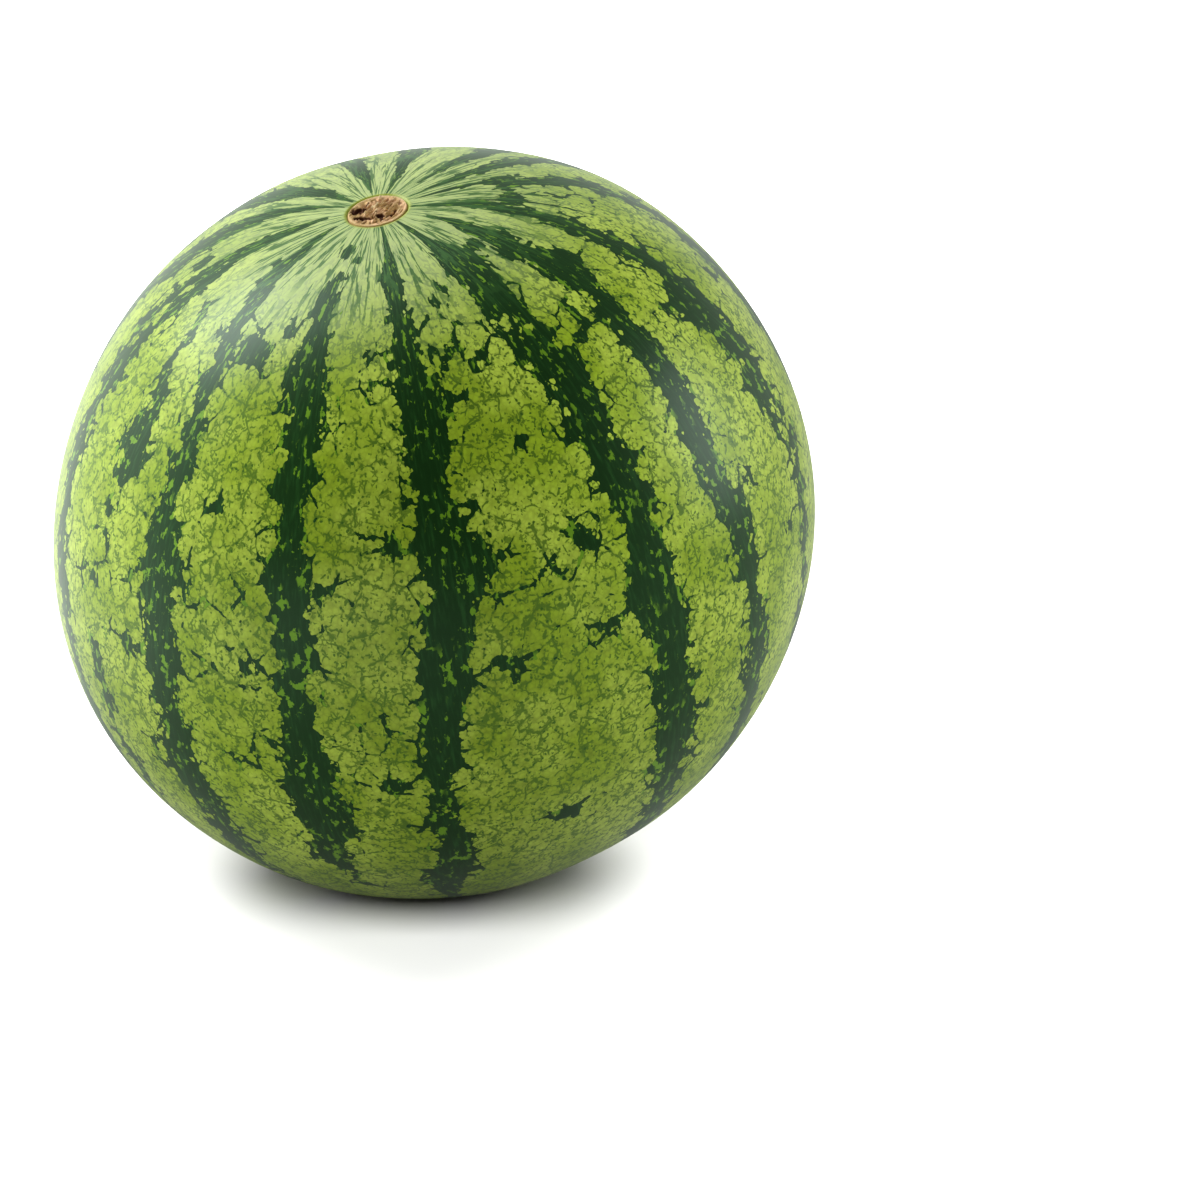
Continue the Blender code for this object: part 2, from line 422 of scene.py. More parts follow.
PATCHES = (
    # from the stem, around, half height, half width
    (31.5, -130, 3.0, 7.5), (11, -115, 2.0, 6.2), (13, -105, 1.2, 4.5), (36, -197, 5.0, 6.0),
    (28, -186, 2.0, 4.5), (27.5, -121, 1.3, 3.4), (36.2, -92.3, 1.3, 3.0), (60, -92, 2.0, 2.8),
    (65.5, -78, 1.4, 2.4), (87.6, -96.5, 1.1, 3.0), (96.5, -97.5, 1.2, 3.4), (95, -138, 1.0, 2.4),
    (67, -128.8, 1.5, 1.6), (78, -128.6, 1.1, 2.4), (67.6, -120, 1.4, 1.5), (54.6, -124, 0.9, 1.2),
    (72, -151.5, 1.6, 2.2), (64.4, -150, 1.5, 2.0), (68.6, -143, 1.0, 1.8), (78.6, -141, 1.6, 2.2),
    (92, -116.5, 1.0, 2.6), (77.5, -117.4, 0.9, 2.6), (65, -104.6, 1.0, 1.6), (95.3, -150, 1.5, 1.2),
    (18.5, -42, 1.5, 9.0), (21.5, -68, 1.0, 1.3), (24.6, -72.6, 1.5, 2.2), (27.4, -76, 1.0, 2.0),
    (33.6, -71, 1.6, 1.6), (35.6, -66, 1.4, 3.4), (40.4, -77, 1.2, 3.4), (50, -66, 0.9, 1.2),
    (57.2, -72.3, 0.9, 1.2), (66, -62.8, 1.5, 2.0), (69, -69.5, 1.0, 3.6), (80.5, -62, 1.6, 3.2),
    (80.3, -79, 1.0, 4.2), (13, -27, 1.8, 3.4), (37.6, -39, 1.8, 2.4), (31, -25, 2.6, 4.6),
    (20, 3.5, 2.2, 11.0), (25.5, 6.6, 4.0, 1.7), (48, -20, 1.2, 3.0), (87, -20, 0.8, 5.0),
    (54, 3.5, 1.4, 3.4), (41, -44, 1.0, 1.4), (17, -152, 1.0, 5.0), (33.3, -93, 0.7, 0.8),
    (74, -30, 1.0, 1.2), (46, 66, 1.6, 3.0), (71, 68, 1.4, 2.0), (33, 90, 1.6, 3.0),
    (60, 92, 1.4, 2.2), (92, 69, 1.4, 2.6), (82, 93, 1.2, 2.0), (98, 45, 1.4, 2.2),
    (118, 70, 1.5, 2.2), (54, 27, 1.6, 2.4), (76, 22, 1.4, 2.2), (108, 22, 1.4, 2.0),
    (55, -207, 1.6, 2.4), (80, -203, 1.4, 2.0), (38, -212, 1.4, 3.0), (112, -72, 1.4, 2.4),
    (124, -110, 1.2, 2.0), (116, -30, 1.4, 2.2),
)
PATCH_SHRINK = 0.6            # the ragged edge adds about this much again, in millimetres
STRIPE_TIP = 1.0              # how deep a stripe still is at its very end, in millimetres
OUTSIDE = -50.0               # a depth that is far outside every stripe
LIGHT_ISLANDS = (
    # the same, for light places inside the dark
    (27, -118.5, 1.8, 1.8), (34.5, -56.6, 1.4, 1.2), (34, -54.4, 1.2, 0.9), (22, 20.5, 1.0, 1.2),
    (35, -34.6, 2.2, 1.6), (20, -34.5, 0.7, 1.6), (37, -175.5, 5.0, 1.3), (61.5, -17, 1.2, 1.2),
    (77, -14.9, 4.5, 1.1),
)


def along(knots, column, polar):
    """One column of a stripe's list, read at any distance from the stem."""
    return np.interp(polar, [knot[0] for knot in knots], [knot[column] for knot in knots])


def around_gap(around, centre):
    """How far round the fruit a point is from a line, the short way, in degrees."""
    return (around - centre + 180) % 360 - 180


def oval(polar, around, place, size_here, size_along):
    """How deep inside an oval patch a point is, in millimetres. Negative is outside."""
    down, across, half_down, half_across = place
    off = np.hypot((polar - down) / half_down, around_gap(around, across) / half_across)
    narrow = np.minimum(half_across * size_here, half_down * size_along)
    return (1 - off) * narrow - PATCH_SHRINK


def stripe_depth(polar, around):
    """How deep inside the dark a point is, in millimetres. Negative is in the light."""
    degree_along = BODY_RADIUS * math.radians(1) / MM
    degree_around = degree_along * np.hypot(np.sin(np.radians(polar)), GROWTH_CORE)
    depth = np.full(len(polar), OUTSIDE)
    for knots in STRIPES:
        left, right = along(knots, 1, polar), along(knots, 2, polar)
        gap = around_gap(around, (left + right) / 2)
        inside = ((right - left) / 2 - np.abs(gap)) * degree_around
        from_ends = np.minimum(polar - knots[0][0], knots[-1][0] - polar) * degree_along
        depth = np.maximum(depth, np.minimum(inside, from_ends + STRIPE_TIP))
    for place in PATCHES:
        depth = np.maximum(depth, oval(polar, around, place, degree_around, degree_along))
    for place in LIGHT_ISLANDS:
        depth = np.minimum(depth, -oval(polar, around, place, degree_around, degree_along))
    return depth


point_polar = np.degrees(read_note(rind.data, "polar"))
point_around = np.degrees(read_note(rind.data, "around"))
point_depth = stripe_depth(point_polar, point_around)
write_note(rind.data, "stripe", point_depth)
dark_share = float((point_depth > 0).mean())
print(len(STRIPES), "stripes;", round(dark_share * 100), "% of the points are dark")

# %% [markdown]
# The light ground is painted paler over one shoulder and lower down, and duller in between, in large
# soft areas. This is painted light and painted shade, and three round spots are enough for it.

# %% Painted light and shade: paler and duller places
PAINTED_LIGHT_SPOTS = (
    # from the stem, around, spread, how much paler (darker below 0)
    (48, -50, 30, 0.38), (82, -98, 20, -0.14), (112, -125, 26, 0.22),
)


def painted_light_and_shade(polar, around):
    """How much paler the light ground is painted at a point, as a share: painted light above 0, painted
    shade below.
    """
    total = np.zeros(len(polar))
    for down, across, spread, gain in PAINTED_LIGHT_SPOTS:
        sideways = around_gap(around, across) * np.sin(np.radians(polar))
        total += gain * np.exp(-((polar - down) ** 2 + sideways ** 2) / spread ** 2)
    return total


point_painted_light_and_shade = painted_light_and_shade(point_polar, point_around)
write_note(rind.data, "pale", point_painted_light_and_shade)
print("paler by up to", round(float(point_painted_light_and_shade.max()) * 100), "%")

# %% [markdown]
# ## The finish of the rind
# The rind's colour sits in the outermost cells, under a thin natural wax. The light ground is not
# plain: it is packed with rounded lobes like a cauliflower's, split by short broken veins and
# freckled. Where light meets dark the same lobes bulge into the stripe, so the edge is crisp and
# scalloped. The stripes are darker and smoother, with fine streaks and chains of light flecks running
# lengthwise. So one set of cells, at three sizes, shapes the stripe edges, the veins and the ground.

# %% Textures by size instead of by frequency
def ease(field, low, high, start=0.0, end=1.0):
    """Goes smoothly from start to end while the field goes from low to high."""
    return node(field.tree, "ShaderNodeMapRange", {"interpolation_type": "SMOOTHSTEP"}, Value=field,
                From_Min=low, From_Max=high, To_Min=start, To_Max=end)


def cloud(place, size, detail=2.0, out="Fac"):
    """Soft noise with blobs about this size."""
    return node(place.tree, "ShaderNodeTexNoise", {}, Vector=place, Scale=1 / size, Detail=detail,
                out=out)


def lobes(place, size, out="Distance"):
    """Distance from the middle of the nearest cell: 0 in the middle, near 1 at a far corner."""
    return node(place.tree, "ShaderNodeTexVoronoi", {"feature": "F1"}, Vector=place, Scale=1 / size,
                out=out)


def seams(place, size):
    """Distance from the nearest wall between two cells, as a share of the cell's size."""
    return node(place.tree, "ShaderNodeTexVoronoi", {"feature": "DISTANCE_TO_EDGE"}, Vector=place,
                Scale=1 / size, out="Distance")


def broken_seams(place, size, wall, noise_field, gaps):
    """Lines along the cells' walls, kept only where a noise is high."""
    return ease(seams(place, size), *wall) * ease(noise_field, *gaps)


def blend(factor, first, second):
    """Mixes two colours: the first where the factor is 0, the second where it is 1."""
    return node(factor.tree, "ShaderNodeMix", {"data_type": "RGBA"}, factor, None, None, None, None,
                None, first, second, out=2)


def mixed(factor, first, second):
    """Goes from the first number to the second as the factor goes from 0 to 1."""
    return first + (second - first) * factor


def note_on_points(tree, name, out="Fac"):
    return node(tree, "ShaderNodeAttribute", {"attribute_name": name}, out=out)


print("texture helpers ready")

# %% [markdown]
# Near the stem the cells are not only finer, growth has also drawn them out lengthwise. So the larger
# lobes are made twice, on the barrel and on the straight tube squeezed lengthwise, and the first give
# way to the second on the way up. One small jitter keeps all the walls from looking ruled.

# %% The rind's cells
BIG_LOBE = 9.0 * MM
MID_LOBE = 4.2 * MM
SMALL_LOBE = 1.7 * MM
JITTER_SIZE = 2.4 * MM
LOBE_JITTER = 1.8 * MM        # how far the jitter moves the walls of the rounded lobes
DRAWN_JITTER = 1.6 * MM       # and of the drawn-out ones
DRAWN_OUT = 0.40              # how wide a drawn-out lobe is, as a share of its length
DRAWN_NEAR_STEM = (0.62, 0.34)          # radians from the stem: from rounded to drawn out


class RindPlaces:
    """What the rind's pattern is drawn with: the notes on its points and one jitter."""

    def __init__(self, tree):
        self.tree = tree
        self.grain = note_on_points(tree, "grain", out="Vector")
        self.fibre = note_on_points(tree, "fibre", out="Vector")
        self.depth = note_on_points(tree, "stripe")
        # the "pale" note holds painted light and painted shade in a few large soft spots
        self.pale = note_on_points(tree, "pale")
        self.polar = note_on_points(tree, "polar")
        self.jitter = cloud(self.grain, JITTER_SIZE, detail=3.0, out="Color") - 0.5
        self.lobed = self.grain + self.jitter * LOBE_JITTER

    def lengthwise(self, squeeze):
        """The straight tube squeezed lengthwise, so that what is drawn on it comes out long."""
        return self.fibre * (1.0, 1.0, squeeze)

    def big_mid_small(self):
        """The lobes at three sizes, the larger two drawn out near the stem."""
        drawn = self.lengthwise(DRAWN_OUT) + self.jitter * DRAWN_JITTER
        near_stem = ease(self.polar, *DRAWN_NEAR_STEM)
        big = mixed(near_stem, lobes(self.lobed, BIG_LOBE), lobes(drawn, BIG_LOBE))
        mid = mixed(near_stem, lobes(self.lobed, MID_LOBE), lobes(drawn, MID_LOBE))
        return big, mid, lobes(self.lobed, SMALL_LOBE)


print("lobes of", [round(size / MM, 1) for size in (BIG_LOBE, MID_LOBE, SMALL_LOBE)], "mm")

# %% The edge between light and dark, in millimetres
LOBE_HALFWAY = 0.55           # a lobe's value where it moves the edge neither way
BIG_BULGE, MID_BULGE, SMALL_BULGE = 6.0, 5.5, 3.0
WANDER_SIZE = 14.0 * MM
WANDER = 2.0                  # how far the whole edge strays
ARM_LENGTH = 4.5              # thin dark arms reach out along the big lobes' walls
ARM_WALL = (0.10, 0.02)
ARM_SPACING = 8.0 * MM
ARM_GAPS = (0.42, 0.56)
CALM_NEAR_STEM = (0.12, 0.62, 0.20, 1.0)     # from and to, in radians, and the edge's share there
EDGE_BLUR = 0.12


def stripe_mask(rind_places, big, mid, small):
    """1 in the dark and 0 on the light ground, with a scalloped edge between them."""
    wander = (cloud(rind_places.grain, WANDER_SIZE) - 0.5) * WANDER
    ragged = (big - LOBE_HALFWAY) * BIG_BULGE + (mid - LOBE_HALFWAY) * MID_BULGE
    ragged = ragged + (small - LOBE_HALFWAY) * SMALL_BULGE
    spacing = cloud(rind_places.grain, ARM_SPACING, detail=1.0)
    arms = broken_seams(rind_places.lobed, BIG_LOBE, ARM_WALL, spacing, ARM_GAPS)
    calm = ease(rind_places.polar, *CALM_NEAR_STEM)
    edge = rind_places.depth + (wander + ragged + arms * ARM_LENGTH) * calm
    return ease(edge, -EDGE_BLUR, EDGE_BLUR)


highest_bulge = (1 - LOBE_HALFWAY) * (BIG_BULGE + MID_BULGE + SMALL_BULGE)
print("lobes push an edge out by up to", round(highest_bulge, 1), "mm")

# %% The light ground
LIGHT_GREEN = (0.365, 0.470, 0.060, 1.0)
LIGHT_GREEN_DEEP = (0.240, 0.340, 0.018, 1.0)
CREASE_GREEN = (0.068, 0.145, 0.010, 1.0)
FRECKLE_GREEN = (0.040, 0.110, 0.010, 1.0)

TONE_SIZE = 22.0 * MM
TONE_CHANGE = (0.35, 0.65)
# GROUND_LIFT makes up for the painted shade round the lobes' rims below
GROUND_LIFT = 1.03            # the rims below darken the ground a little, and this makes up for it
OWN_TONE = 0.14               # how much small lobes differ from each other
# painted shade of the lobes' relief: each small and middle lobe is darker towards its rim
SMALL_RIM, SMALL_RIM_PAINTED_SHADE = (0.30, 0.95), 0.18
MID_RIM, MID_RIM_PAINTED_SHADE = (0.35, 0.95), 0.14
LONG_BREAKS = 3.2 * MM        # creases come and go with two noises, this long and this short
SHORT_BREAKS = 2.0 * MM
LONG_BREAKS_SHIFT = (0.3, 0.1, 0.2)
BIG_CREASE, BIG_CREASE_GAPS = (0.055, 0.018), (0.44, 0.52)
MID_CREASE, MID_CREASE_GAPS = (0.100, 0.040), (0.50, 0.55)
SMALL_CREASE, SMALL_CREASE_GAPS = (0.19, 0.08), (0.54, 0.59)
SMALL_CREASE_STRENGTH = 0.8
CREASE_STRENGTH = 0.85
CREASE_HALO, HALO_STRENGTH = (0.26, 0.0), 0.10
FRECKLE_SIZE = 2.6 * MM
FRECKLE_JITTER = 1.6 * MM
FRECKLE_EDGE = (0.22, 0.15)
FRECKLE_STRENGTH = 0.85


def lobed_green_and_painted_shade(rind_places, mid, small):
    """Two greens in large soft tones with painted light and shade in a few spots, every lobe painted
    darker round its rim as shade.
    """
    tone = cloud(rind_places.grain, TONE_SIZE, detail=3.0)
    green = blend(ease(tone, *TONE_CHANGE), LIGHT_GREEN, LIGHT_GREEN_DEEP)
    cell_color = lobes(rind_places.lobed, SMALL_LOBE, out="Color")
    own_tone = node(rind_places.tree, "ShaderNodeSeparateColor", {}, cell_color)
    # the pale note adds painted light and painted shade; own_tone is each lobe's own random tone
    brightness = GROUND_LIFT + rind_places.pale + OWN_TONE * own_tone
    # painted shade: each lobe darker towards its rim, standing in for the shade of its rounded relief
    brightness = brightness - ease(small, *SMALL_RIM) * SMALL_RIM_PAINTED_SHADE
    return green * (brightness - ease(mid, *MID_RIM) * MID_RIM_PAINTED_SHADE)


def creases(rind_places):
    """Short broken veins along the walls of all three sizes of lobe."""
    place = rind_places.lobed
    long_breaks = cloud(rind_places.grain + LONG_BREAKS_SHIFT, LONG_BREAKS, detail=3.0)
    short_breaks = cloud(rind_places.grain, SHORT_BREAKS, detail=3.0)
    big = broken_seams(place, BIG_LOBE, BIG_CREASE, long_breaks, BIG_CREASE_GAPS)
    mid = broken_seams(place, MID_LOBE, MID_CREASE, short_breaks, MID_CREASE_GAPS)
    small = broken_seams(place, SMALL_LOBE, SMALL_CREASE, long_breaks, SMALL_CREASE_GAPS)
    return big.at_least(mid).at_least(small * SMALL_CREASE_STRENGTH)


def light_ground(rind_places, mid, small):
    ground = lobed_green_and_painted_shade(rind_places, mid, small)
    halo = ease(seams(rind_places.lobed, SMALL_LOBE), *CREASE_HALO)
    ground = blend(halo * HALO_STRENGTH, ground, CREASE_GREEN)
    ground = blend(creases(rind_places) * CREASE_STRENGTH, ground, CREASE_GREEN)
    freckle_place = rind_places.grain + rind_places.jitter * FRECKLE_JITTER
    freckles = ease(lobes(freckle_place, FRECKLE_SIZE), *FRECKLE_EDGE)
    return blend(freckles * FRECKLE_STRENGTH, ground, FRECKLE_GREEN)


print("light ground described")

# %% The dark stripes
DARK_GREEN = (0.0070, 0.042, 0.0030, 1.0)
DARK_GREEN_STREAK = (0.018, 0.080, 0.012, 1.0)
FLECK_GREEN = (0.150, 0.300, 0.015, 1.0)

STREAK_SIZE, STREAK_SQUEEZE, STREAK_CHANGE = 1.1 * MM, 0.16, (0.45, 0.78)
FLECK_SIZE, FLECK_SQUEEZE, FLECK_EDGE = 2.6 * MM, 0.70, (0.560, 0.605)
FLECK_JITTER = 2.4 * MM
SWARM_SIZE, SWARM_SQUEEZE, SWARM_EDGE = 6.0 * MM, 0.40, (0.43, 0.54)


def dark_stripe(rind_places):
    """Dark green with fine streaks, and light flecks that gather in swarms."""
    streaks = cloud(rind_places.lengthwise(STREAK_SQUEEZE), STREAK_SIZE, detail=3.0)
    green = blend(ease(streaks, *STREAK_CHANGE), DARK_GREEN, DARK_GREEN_STREAK)
    fleck_place = rind_places.lengthwise(FLECK_SQUEEZE) + rind_places.jitter * FLECK_JITTER
    flecks = ease(cloud(fleck_place, FLECK_SIZE, detail=4.0), *FLECK_EDGE)
    swarms = ease(cloud(rind_places.lengthwise(SWARM_SQUEEZE), SWARM_SIZE), *SWARM_EDGE)
    return blend(flecks * swarms, green, FLECK_GREEN)


print("dark stripes described")

# %% [markdown]
# Towards the stem the ground pales to mint and dark threads run out of the stripes, because there the
# veins under the skin lie close together. A thin yellowish line goes round the cork itself.

# %% The stem end of the rind
STEM_MINT = (0.470, 0.560, 0.270, 1.0)
STREAK_GREEN = (0.040, 0.125, 0.022, 1.0)
OUTLINE_YELLOW = (0.340, 0.400, 0.045, 1.0)

MINT_NEAR_STEM, MINT_STRENGTH = (0.72, 0.08), 0.75
DRAWN_STREAK_SQUEEZE = 0.32
DRAWN_STREAK_JITTER = 2.4 * MM
THREAD_CELL, THREAD_WALL = 6.5 * MM, (0.12, 0.05)
THREAD_GAP_SIZE, THREAD_GAP_SQUEEZE, THREAD_GAPS = 7.0 * MM, 0.35, (0.45, 0.52)
THREADS_NEAR_STEM = (0.60, 0.30)
FLAME_SIZE, FLAME_EDGE = 6.0 * MM, (0.595, 0.63)
FLAMES_NEAR_STEM = (0.42, 0.26)
DRAWN_STREAK_STRENGTH = 0.90
OUTLINE_RING, OUTLINE_STRENGTH = (0.094, 0.084), 0.8


def towards_the_stem(rind_places, color, dark):
    """Adds to the rind's colour what changes near the stem: mint, dark streaks and an outline."""
    polar = rind_places.polar
    mint = ease(polar, *MINT_NEAR_STEM)
    color = blend(mint * (1.0 - dark) * MINT_STRENGTH, color, STEM_MINT)
    drawn = rind_places.lengthwise(DRAWN_STREAK_SQUEEZE) + rind_places.jitter * DRAWN_STREAK_JITTER
    gap_noise = cloud(rind_places.lengthwise(THREAD_GAP_SQUEEZE), THREAD_GAP_SIZE)
    threads = broken_seams(drawn, THREAD_CELL, THREAD_WALL, gap_noise, THREAD_GAPS)
    threads = threads * ease(polar, *THREADS_NEAR_STEM)
    flames = ease(cloud(drawn, FLAME_SIZE, detail=3.0), *FLAME_EDGE) * ease(polar, *FLAMES_NEAR_STEM)
    color = blend(flames.at_least(threads) * DRAWN_STREAK_STRENGTH, color, STREAK_GREEN)
    return blend(ease(polar, *OUTLINE_RING) * OUTLINE_STRENGTH, color, OUTLINE_YELLOW)


print("stem end described")

# %% [markdown]
# Over the colour lies a thin wax. It is smooth enough to show the lamps as soft patches, and its bloom
# of fine crystals scatters light at the rim of the fruit, which makes the limb hazy and pale. Sheen
# does just that, so the wax is a low reflection and a little sheen, both faintly green.

# %% The striped rind, put together
WAX = {
    "Roughness": 0.38, "IOR": 1.33, "Specular Tint": (0.82, 1.0, 0.93, 1.0),
    "Sheen Weight": 0.13, "Sheen Roughness": 0.45, "Sheen Tint": (0.88, 1.0, 0.90, 1.0),
}


def rind_look(material):
    material.use_nodes = True
    tree = material.node_tree
    shader = tree.nodes["Principled BSDF"]
    rind_places = RindPlaces(tree)
    big, mid, small = rind_places.big_mid_small()
    dark = stripe_mask(rind_places, big, mid, small)
    color = blend(dark, light_ground(rind_places, mid, small), dark_stripe(rind_places))
    color = towards_the_stem(rind_places, color, dark)
    tree.links.new(color.socket, shader.inputs["Base Color"])
    for name, value in WAX.items():
        shader.inputs[name].default_value = value


rind_look(rind_finish)
print("rind finish:", len(rind_finish.node_tree.nodes), "nodes")

# %% [markdown]
# ## The corky stem scar
# When a ripe melon leaves its stalk, the joint tears and dries to cork: a tan ring around a torn,
# fibrous middle, with dark pits where the vessels ran. It is a separate skin in a shallow seat in the
# rind. Its surface is a height above the seat: a rounded ring, fibres that all lean one way, a few pits
# and lumps. The same height drives the colour: the low places are painted rust and the pits brown,
# partly the cork's own dark colour and partly painted shade, and the torn crests dry pale.

# %% Sizes of the scar, in millimetres unless it says otherwise
SCAR_CORK = 10.0                     # radius of the cork disc
SCAR_RINGS = 84
SCAR_SPOKES = 220
SCAR_SEAT = 3.4                      # how deep the underside of the cork lies
RING_HEIGHT = 0.20
RING_PLACE, RING_WIDTH = 0.90, 0.07  # as shares of the disc's radius
RING_FOOT = 0.15                     # how far under the skin the ring starts
TORN_MIDDLE = (0.92, 0.74)           # shares of the radius where the torn middle begins and is full
TORN_HEIGHT = 1.7
TORN_CREST = 0.35                    # noise nearer to 0 than this stands up as a crest
TORN_SINK = 0.40
FIBRE_LEAN = math.radians(52)        # which way the torn fibres run
RIM_TUCK, TUCK_FROM = 1.1, 0.93      # how far the rim turns down, and from which share of the radius
SCAR_PITS = (
    # x, y, half length, half width, turned by, how deep
    (-6.0, 2.2, 2.9, 2.2, 10, 2.5), (-5.0, -2.9, 3.2, 1.1, -24, 2.4), (0.9, -3.4, 1.8, 1.4, -30, 2.3),
    (1.3, -5.6, 0.6, 1.4, 0, 1.5), (4.2, -4.4, 2.1, 0.7, 22, 1.8), (-2.2, 0.8, 0.9, 0.35, 45, 1.4),
    (3.5, 0.9, 0.8, 0.5, 10, 1.5), (2.9, -1.1, 0.7, 0.5, 80, 1.4), (0.5, 5.4, 0.8, 0.7, 0, 1.2),
    (7.3, 2.6, 1.2, 0.7, 60, 0.8), (-3.0, 5.6, 0.9, 0.5, 30, 1.0), (4.9, 4.4, 0.8, 0.5, 50, 0.9),
    (-0.6, -1.2, 0.8, 0.3, 45, 1.0), (5.6, -1.6, 0.9, 0.4, 60, 1.0),
)
PIT_DEPTH = 0.6                      # how deep the pits go, as a share of the numbers above
PIT_WALL = (1.15, 0.55)              # where a pit begins and where it is full; 1 is its outline
PIT_SMOOTHING = 0.5                  # how much of the other relief a pit takes away
SCAR_LUMPS = (
    # x, y, half length, half width, turned by, how high
    (1.0, 7.6, 1.3, 0.8, 8, 0.9), (0.8, 0.2, 2.6, 1.3, 52, 0.5), (-0.8, 3.0, 3.0, 0.8, 48, 0.6),
)
LUMP_SLOPE = (1.2, 0.2)

# %% Noise that roughens the cork
# each layer: how fine it is along x and y, which slice of the noise it reads, and its height
OUTLINE_WOBBLE = (0.9, 0.9, 3.1, 0.30)
RING_BAYS = (0.35, 0.35, 6.4, 0.10)
FIBRE_BUNDLES = (0.28, 1.05, 0.7, 1.0)
FINE_FIBRES = (0.6, 2.4, 5.3, 0.38)
CRUMBS = (2.3, 2.3, 9.2, 0.11)
GRIT = (5.0, 5.0, 2.2, 0.07)


def rough(x, y, layer):
    """One layer of noise, read at a point of the cork."""
    fine_x, fine_y, slice_read, height = layer
    return noise.noise((x * fine_x, y * fine_y, slice_read)) * height


def turned(x, y, angle):
    """A point's place along and across a direction."""
    along_it = x * math.cos(angle) + y * math.sin(angle)
    across_it = y * math.cos(angle) - x * math.sin(angle)
    return along_it, across_it


def soft_step(value, low, high):
    """Goes smoothly from 0 to 1 while the value goes from low to high."""
    share = min(max((value - low) / (high - low), 0.0), 1.0)
    return share * share * (3 - 2 * share)


print("cork noise ready")

# %% The cork's height
def outline_distance(x, y, place):
    """How far a point is from the middle of a lump or pit, where 1 is its outline."""
    centre_x, centre_y, half_long, half_wide, turn, _ = place
    along_it, across_it = turned(x - centre_x, y - centre_y, math.radians(turn))
    return math.hypot(along_it / half_long, across_it / half_wide)


def torn_height(x, y):
    """The torn fibres: wide bundles with fine ones on them."""
    along_it, across_it = turned(x, y, FIBRE_LEAN)
    crest = TORN_CREST - abs(rough(along_it, across_it, FIBRE_BUNDLES))
    return crest * TORN_HEIGHT + rough(along_it, across_it, FINE_FIBRES)


def cork_height(x, y):
    """Height of the cork above the skin around it, and how deep in a pit the point is."""
    share = math.hypot(x, y) / SCAR_CORK
    wobble = rough(x, y, OUTLINE_WOBBLE)
    ring = RING_HEIGHT * math.exp(-((share - RING_PLACE) / RING_WIDTH) ** 2)
    middle = soft_step(share + rough(x, y, RING_BAYS), *TORN_MIDDLE)
    crumbs = rough(x, y, CRUMBS) + rough(x, y, GRIT)
    height = ring - RING_FOOT + middle * (torn_height(x, y) - TORN_SINK) + crumbs
    for place in SCAR_LUMPS:
        height += place[-1] * soft_step(outline_distance(x, y, place) + wobble, *LUMP_SLOPE)
    pit = 0.0
    for place in SCAR_PITS:
        inside = soft_step(outline_distance(x, y, place) + wobble, *PIT_WALL)
        pit = max(pit, inside * place[-1])
    height = height * (1 - PIT_SMOOTHING * min(pit, 1.0)) - pit * PIT_DEPTH
    return height - soft_step(share, TUCK_FROM, 1.0) * RIM_TUCK, pit


print(len(SCAR_PITS), "pits,", len(SCAR_LUMPS), "lumps")

# %% [markdown]
# The cork is a closed disc: rings of points go out over its top and come back in underneath. Its points
# are laid on the fruit by the same rule that shaped the fruit, so it sits square on the stem end.

# %% Build the cork
UNDERSIDE_RINGS = (0.97, 0.5)        # where the rings underneath lie, as shares of the disc's radius


def on_stem_end(x, y, height):
    """A place on the fruit's stem end, from millimetres across it and above its skin."""
    slope = math.hypot(x, y) * MM / BODY_RADIUS
    skin_here = BODY_RADIUS - STEM_END_SINK * math.exp(-(slope / END_SPREAD) ** 2)
    upright = Vector((x * MM, y * MM, skin_here * math.cos(slope) + height * MM))
    placed = upright_to_stem @ upright
    placed.x += placed.z * SKEW
    return placed + fruit_middle


def disc_faces(rings, spokes):
    """The faces of a closed disc whose points run ring by ring from one middle to the other."""
    faces = [(0, 1 + spoke, 1 + (spoke + 1) % spokes) for spoke in range(spokes)]
    for ring in range(rings - 1):
        inner, outer = 1 + ring * spokes, 1 + (ring + 1) * spokes
        for spoke in range(spokes):
            after = (spoke + 1) % spokes
            faces.append((inner + spoke, outer + spoke, outer + after, inner + after))
    last, end = 1 + (rings - 1) * spokes, 1 + rings * spokes
    faces += [(last + spoke, end, last + (spoke + 1) % spokes) for spoke in range(spokes)]
    return faces


def disc(name, rings, spokes, radius, depth, surface, place):
    """A closed disc whose top follows a surface, laid on the fruit by a rule for its places."""
    def circle(reach):
        turns = [math.tau * spoke / spokes for spoke in range(spokes)]
        return [(reach * math.cos(turn), reach * math.sin(turn)) for turn in turns]

    flat = [(0.0, 0.0)]
    for ring in range(1, rings + 1):
        flat += circle(radius * ring / rings)
    notes = [surface(x, y) for x, y in flat]
    for share in UNDERSIDE_RINGS:
        flat += circle(radius * share)
    flat.append((0.0, 0.0))
    notes += [(-depth, 0.0)] * (len(flat) - len(notes))

    mesh = bpy.data.meshes.new(name)
    points = [place(x, y, height) for (x, y), (height, _) in zip(flat, notes)]
    mesh.from_pydata(points, [], disc_faces(rings + len(UNDERSIDE_RINGS), spokes))
    mesh.shade_smooth()
    write_note(mesh, "height", np.array([height for height, _ in notes]))
    write_note(mesh, "pit", np.array([pit for _, pit in notes]))
    made = bpy.data.objects.new(name, mesh)
    bpy.context.scene.collection.objects.link(made)
    return made


stem_scar = disc("stem_scar", SCAR_RINGS, SCAR_SPOKES, SCAR_CORK, SCAR_SEAT, cork_height, on_stem_end)
print("stem scar:", len(stem_scar.data.polygons), "faces")

# %% The finish of cork
CORK_TAN = (0.52, 0.36, 0.155, 1.0)
CORK_CREAM = (0.76, 0.63, 0.37, 1.0)
CORK_PEACH = (0.64, 0.42, 0.23, 1.0)
